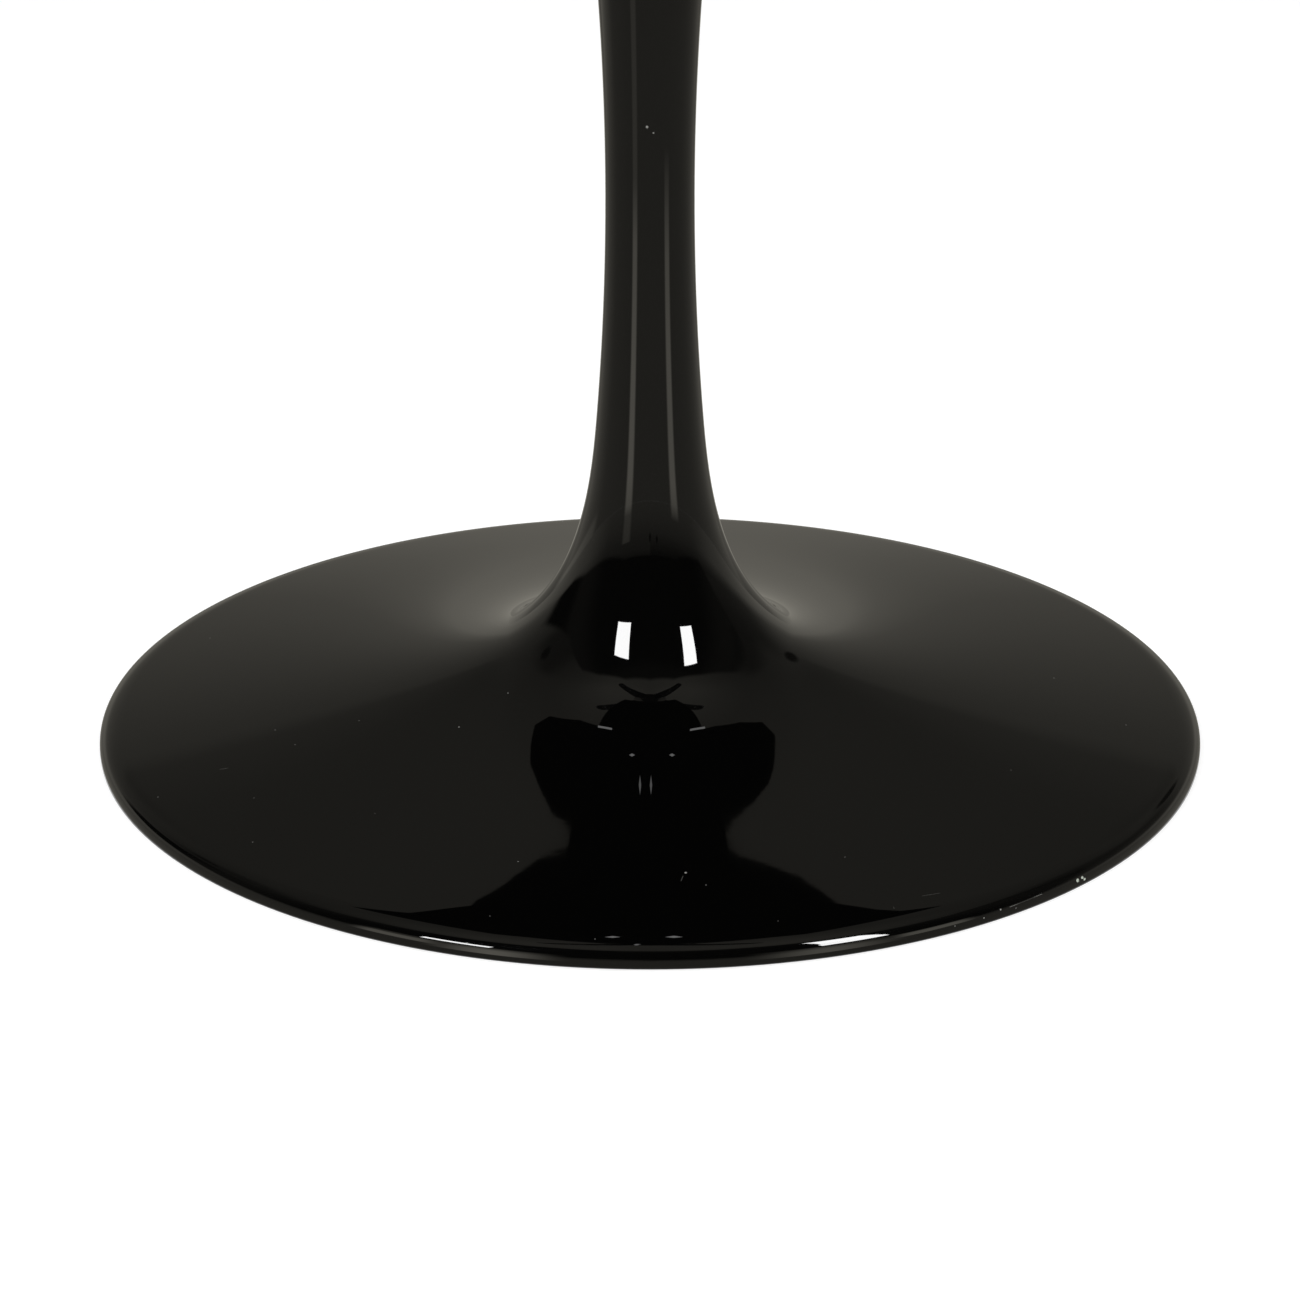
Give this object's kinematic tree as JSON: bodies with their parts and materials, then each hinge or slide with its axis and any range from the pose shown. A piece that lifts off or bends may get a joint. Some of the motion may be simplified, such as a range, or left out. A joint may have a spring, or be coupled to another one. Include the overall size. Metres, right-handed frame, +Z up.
{
  "type": "tulip table base",
  "caption": "Gloss black tulip table base: a round foot that sweeps up into a slim waisted stem, with a four-armed spider on top to carry a round table top.",
  "frame": {"origin": "on the floor, on the axis of the stem", "axes": "+Z up along the stem; X and Y lie between the spider's arms"},
  "size_m": [0.68, 0.68, 0.7],
  "materials": {
    "pedestal_paint": "gloss",
    "spider_coat": "satin",
    "screw_zinc": "satin",
    "glide_nylon": "matte"
  },
  "bodies": {
    "root": {"pedestal": "pedestal_paint", "tabletop_spider": "spider_coat", "spider_screws": "screw_zinc", "floor_glide_1": "glide_nylon", "floor_glide_2": "glide_nylon", "floor_glide_3": "glide_nylon", "floor_glide_4": "glide_nylon", "floor_glide_5": "glide_nylon", "floor_glide_6": "glide_nylon"}
  },
  "joints": []
}
